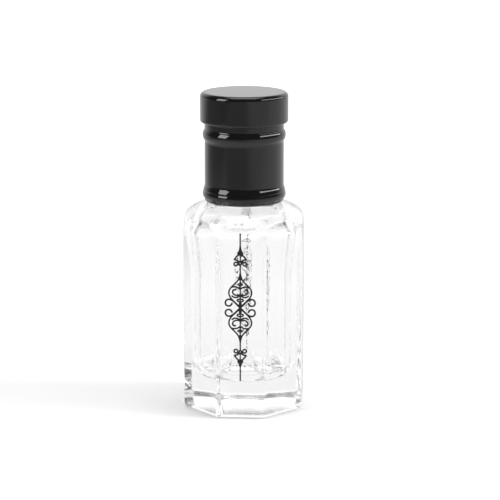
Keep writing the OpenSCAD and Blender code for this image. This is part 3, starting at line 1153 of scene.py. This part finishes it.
@dataclass
class Studio:
    """The table, the light and the camera. Lengths are in metres, angles in degrees.

    A reach is the two places between which a shade or a light grows from nothing to its full value.
    """

    # The camera's place round the bottle. The focal length and the axis's place across are in pixels of a
    # square picture, whose side comes between them, and the sensor's width is in mm.
    distance: float = 375.47 * MM
    pitch: float = 13.123
    turn: float = 3.738
    aim_z: float = 31.81 * MM
    focal: float = 1858.345
    picture: int = 500
    axis_x: float = 244.214
    sensor: float = 36.0
    clip: tuple[float, float] = (0.02, 50.0)
    # The table. To the camera it has its tone, and a lift near the bottle that grows to white over far_reach.
    floor_size: float = 6.0
    floor_gap: float = 0.03 * MM
    floor_rough: float = 0.9
    floor_tone: float = 0.86
    floor_lift: float = 0.12
    far_reach: tuple[float, float] = (0.12, 0.6)
    # In reflections and through the glass the table glows with painted light: painted shade to the front and
    # left, and a painted lift behind.
    floor_glow: float = 0.93
    front_reach: tuple[float, float] = (-0.06, -0.22)
    front_shade: float = 0.5
    right_reach: tuple[float, float] = (-0.02, 0.2)
    right_shade: float = 0.18
    left_reach: tuple[float, float] = (-0.1, -0.3)
    left_shade: float = 0.6
    behind_reach: tuple[float, float] = (0.02, 0.3)
    behind_lift: float = 0.3
    behind_gloss: float = 0.1
    # The white sweep behind the bottle, by the direction's Y and Z, in a room that is nearly dark.
    sweep_reach: tuple[float, float] = (0.2, 0.8)
    sweep_fade: tuple[float, float] = (0.45, 0.75)
    sweep_level: float = 1.0
    room_level: float = 0.08
    # How often light may pass through or bounce between the glass's skins, and the lamps.
    bounces: int = 32
    lamps: tuple[SoftBox, ...] = (
        SoftBox("right_strip", place=(0.82, 0.25, 0.36), size=(1.4, 0.13), power=4.0, aim=(0.0, 0.81, 0.05)),
        SoftBox("left_box", place=(-0.778, -0.449, 0.438), size=(0.45, 0.6), power=5.4),
        SoftBox("top_box", place=(0.0, 0.1, 1.5), size=(1.1, 1.1), power=12.0),
        SoftBox("right_key", place=(0.9, -0.05, 0.4), size=(0.3, 0.3), power=6.0, mirrored=False),
    )

    def camera(self) -> None:
        """Places the camera in front of the bottle, a little above it and to its right, facing its axis."""
        data = bpy.data.cameras.new("camera")
        data.sensor_width = self.sensor
        data.lens = self.focal / self.picture * data.sensor_width
        data.shift_x = (self.picture / 2 - self.axis_x) / self.picture
        data.clip_start, data.clip_end = self.clip
        made = bpy.data.objects.new("camera", data)
        bpy.context.scene.collection.objects.link(made)
        pitch, turn = math.radians(self.pitch), math.radians(self.turn)
        back = Vector((math.sin(turn) * math.cos(pitch), -math.cos(turn) * math.cos(pitch), math.sin(pitch)))
        made.location = Vector((0.0, 0.0, self.aim_z)) + back * self.distance
        made.rotation_mode = "QUATERNION"
        made.rotation_quaternion = (-back).to_track_quat("-Z", "Y")
        bpy.context.scene.camera = made

    def floor(self) -> None:
        """Lays the white table.

        To the camera it is lit by the lamps, and plain white far from the bottle. In reflections and through
        the glass it glows with painted light instead of being lit: even, but with painted shade to the front
        and the left and a painted lift behind the bottle.
        """
        half = self.floor_size / 2.0
        corners = np.array([[-half, -half], [half, -half], [half, half], [-half, half]])
        points = np.column_stack([corners, np.full(4, -self.floor_gap)])
        table = mesh_object("table", points, [[0, 1, 2, 3]], smooth=False)
        made, wiring = new_material("white_table")
        x, y, _ = wiring.parts(wiring.node("ShaderNodeTexCoord").outputs["Object"])
        rays = wiring.node("ShaderNodeLightPath").outputs
        seen, through = rays["Is Camera Ray"], rays["Is Transmission Ray"]
        front = wiring.ramp(y, *self.front_reach, 0.0, 1.0)
        right = wiring.ramp(x, *self.right_reach, 0.0, 1.0)
        left = wiring.ramp(x, *self.left_reach, 0.0, 1.0)
        behind = wiring.ramp(y, *self.behind_reach, 0.0, 1.0)
        front_share = wiring.ramp(right, 0.0, 1.0, self.front_shade, self.right_shade)
        left_share = wiring.ramp(behind, 0.0, 1.0, self.left_shade, 0.0)
        shade = wiring.math("MAXIMUM", wiring.math("MULTIPLY", front, front_share),
                            wiring.math("MULTIPLY", left, left_share))
        # Painted light: this glow stands in for the lit table in reflections, through the glass and in light
        # bounced onto the bottle.
        glow = wiring.math("SUBTRACT", self.floor_glow, shade)
        lift = wiring.blend(through, self.behind_gloss, self.behind_lift)
        glow = wiring.math("ADD", glow, wiring.math("MULTIPLY", behind, lift))
        plain = wiring.ramp(wiring.from_axis(x, y), *self.far_reach, self.floor_lift, 1.0)
        wiring.fill(wiring.nodes["Principled BSDF"], {
            "Base Color": wiring.blend(seen, 0.0, self.floor_tone),
            "Roughness": self.floor_rough,
            "Specular IOR Level": 0.0,
            "Emission Color": (*WHITE, 1.0),
            "Emission Strength": wiring.blend(seen, glow, plain)})
        table.data.materials.append(made)

    def world(self) -> None:
        """A dark room with a white sweep behind the bottle. To the camera it is white all over."""
        world = bpy.data.worlds.new("room")
        bpy.context.scene.world = world
        world.use_nodes = True
        wiring = Wiring(world.node_tree.nodes, world.node_tree.links)
        _, y, z = wiring.parts(wiring.node("ShaderNodeTexCoord").outputs["Generated"])
        seen = wiring.node("ShaderNodeLightPath").outputs["Is Camera Ray"]
        behind = wiring.ramp(y, *self.sweep_reach, 0.0, self.sweep_level)
        low = wiring.ramp(z, *self.sweep_fade, 1.0, 0.0)
        level = wiring.math("ADD", wiring.math("MULTIPLY", behind, low), self.room_level)
        wiring.fill(wiring.nodes["Background"], {
            "Color": (*WHITE, 1.0), "Strength": wiring.blend(seen, level, 1.0)})

    def build(self) -> None:
        """Sets up everything that isn't the bottle."""
        scene = bpy.context.scene
        scene.view_settings.view_transform = "Standard"
        scene.cycles.max_bounces = self.bounces
        scene.cycles.transmission_bounces = self.bounces
        scene.cycles.glossy_bounces = self.bounces
        self.camera()
        self.floor()
        self.world()
        for lamp in self.lamps:
            lamp.hang()


def main() -> None:
    """Builds the bottle piece by piece, then the studio."""
    logging.basicConfig(level=logging.INFO, format="%(name)s: %(message)s")
    GlassBottle().build()
    Ornament().build("front_ink", front=True)
    Ornament(weight=0.36).build("back_ink", front=False)
    ScrewCap().build()
    RollerBall().build()
    finish_node("roller_housing", Finish.HOUSING)
    finish_node("cap_lining", Finish.LINING)
    finish_node("ball_pad", Finish.FOAM)
    Studio().build()


if __name__ == "__main__":
    main()
